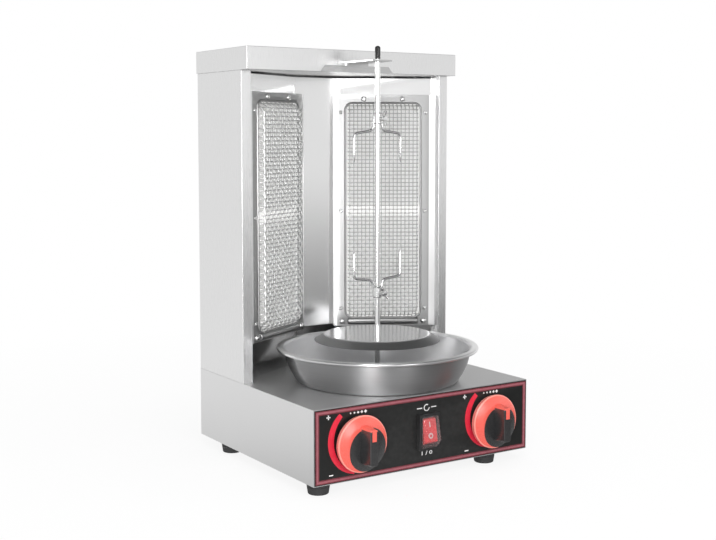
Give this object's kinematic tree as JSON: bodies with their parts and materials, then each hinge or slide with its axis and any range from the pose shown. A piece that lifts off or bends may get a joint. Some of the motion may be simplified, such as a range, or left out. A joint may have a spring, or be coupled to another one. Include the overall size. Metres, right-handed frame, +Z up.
{
  "type": "vertical kebab grill",
  "caption": "Countertop vertical kebab grill: stainless cabinet with angled mesh burners, motor-driven spit with meat plate and forks, drip pan, knobs and a rocker switch.",
  "frame": {"origin": "Middle of the whole part's box, on the surface that the rubber feet stand on.", "axes": "+Z up along the spit, -Y is the front with the controls, +X is to the right seen from the front."},
  "size_m": [0.272, 0.306, 0.4461],
  "materials": {
    "satin_steel": "satin brushed stainless sheet",
    "polished_steel": "polished stainless",
    "pan_steel": "spun stainless with fine rings",
    "mesh_wire": "woven heat-proof wire",
    "screw_steel": "bright screws",
    "inner_steel": "plain inner steel",
    "brass": "turned brass",
    "overlay_film": "printed film with a thin red border",
    "knob_plastic": "satin moulded plastic with an orange crescent",
    "switch_plastic": "moulded black plastic",
    "rocker_plastic": "red moulded plastic, marked I and O",
    "boot_rubber": "clear flexible splash cover",
    "foot_rubber": "moulded black rubber",
    "burner_ceramic": "perforated burner ceramic",
    "joint_fibre": "pale ceramic fibre",
    "tip_plastic": "dark heat-proof tip",
    "gland_plastic": "moulded black plastic",
    "block_plastic": "ivory moulded plastic",
    "motor_paint": "dark painted can"
  },
  "bodies": {
    "root": {"base_shell": "satin_steel", "base_floor": "satin_steel", "left_side_panel": "satin_steel", "right_side_panel": "satin_steel", "back_panel": "satin_steel", "inner_liner": "satin_steel", "ceiling_plate": "satin_steel", "top_cap": "satin_steel", "left_burner_frame": "satin_steel", "right_burner_frame": "satin_steel", "spit_bracket": "polished_steel", "left_mesh": "mesh_wire", "right_mesh": "mesh_wire", "foot_screws": "screw_steel", "panel_screws": "screw_steel", "frame_screws": "screw_steel", "motor_nuts": "screw_steel", "mixing_tubes": "inner_steel", "burner_boxes": "inner_steel", "gearbox": "inner_steel", "left_valve_body": "brass", "right_valve_body": "brass", "gas_rail": "brass", "gas_inlet": "brass", "burner_pipes": "brass", "gas_injectors": "brass", "shaft_bush": "brass", "control_overlay": "overlay_film", "switch_housing": "switch_plastic", "switch_boot": "boot_rubber", "foot_front_left": "foot_rubber", "foot_front_right": "foot_rubber", "foot_back_left": "foot_rubber", "foot_back_right": "foot_rubber", "ceramic_plaques": "burner_ceramic", "plaque_gaskets": "joint_fibre", "joint_strips": "joint_fibre", "cable_gland": "gland_plastic", "terminal_block": "block_plastic", "motor_can": "motor_paint"},
    "drive": {"output_shaft": "inner_steel", "drive_socket": "inner_steel"},
    "spit": {"spit_rod": "polished_steel", "rod_tip": "tip_plastic", "cross_pin": "screw_steel", "meat_plate": "polished_steel"},
    "upper_fork": {"upper_fork": "polished_steel"},
    "upper_screw": {"upper_wing_screw": "polished_steel"},
    "lower_fork": {"lower_fork": "polished_steel"},
    "lower_screw": {"lower_wing_screw": "polished_steel"},
    "pan": {"drip_pan": "pan_steel"},
    "left_plug": {"left_valve_plug": "brass"},
    "left_knob": {"left_knob": "knob_plastic", "left_valve_stem": "inner_steel"},
    "right_plug": {"right_valve_plug": "brass"},
    "right_knob": {"right_knob": "knob_plastic", "right_valve_stem": "inner_steel"},
    "rocker": {"rocker_button": "rocker_plastic"}
  },
  "joints": [
    {"name": "drive_spin", "type": "hinge", "parent": "root", "child": "drive", "pos_m": [0, -0.03299, 0.0865], "axis": [0, 0, 1], "continuous": true},
    {"name": "spit_lift", "type": "slide", "parent": "drive", "child": "spit", "axis": [0, 0, 1], "range_m": [0, 0.025]},
    {"name": "upper_fork_slide", "type": "slide", "parent": "spit", "child": "upper_fork", "axis": [0, 0, 1], "range_m": [-0.045, 0.02]},
    {"name": "upper_screw_turn", "type": "hinge", "parent": "upper_fork", "child": "upper_screw", "pos_m": [0, -0.03299, 0.3691], "axis": [0, -1, 0], "continuous": true},
    {"name": "lower_fork_slide", "type": "slide", "parent": "spit", "child": "lower_fork", "axis": [0, 0, 1], "range_m": [-0.03, 0.04]},
    {"name": "lower_screw_turn", "type": "hinge", "parent": "lower_fork", "child": "lower_screw", "pos_m": [0, -0.03299, 0.1822], "axis": [0, -1, 0], "continuous": true},
    {"name": "pan_lift", "type": "slide", "parent": "root", "child": "pan", "axis": [0, 0, 1], "range_m": [0, 0.015]},
    {"name": "left_valve_turn", "type": "hinge", "parent": "root", "child": "left_plug", "pos_m": [-0.084, -0.12299, 0.0485], "axis": [0, -1, 0], "range_deg": [0, 210]},
    {"name": "left_knob_push", "type": "slide", "parent": "left_plug", "child": "left_knob", "axis": [0, 1, 0], "range_m": [0, 0.003], "stiffness_N_per_m": 600, "springref_m": -0.002},
    {"name": "right_valve_turn", "type": "hinge", "parent": "root", "child": "right_plug", "pos_m": [0.084, -0.12299, 0.0485], "axis": [0, -1, 0], "range_deg": [0, 210]},
    {"name": "right_knob_push", "type": "slide", "parent": "right_plug", "child": "right_knob", "axis": [0, 1, 0], "range_m": [0, 0.003], "stiffness_N_per_m": 600, "springref_m": -0.002},
    {"name": "rocker_tilt", "type": "hinge", "parent": "root", "child": "rocker", "pos_m": [0, -0.12199, 0.0485], "axis": [1, 0, 0], "range_deg": [0, 20]}
  ]
}
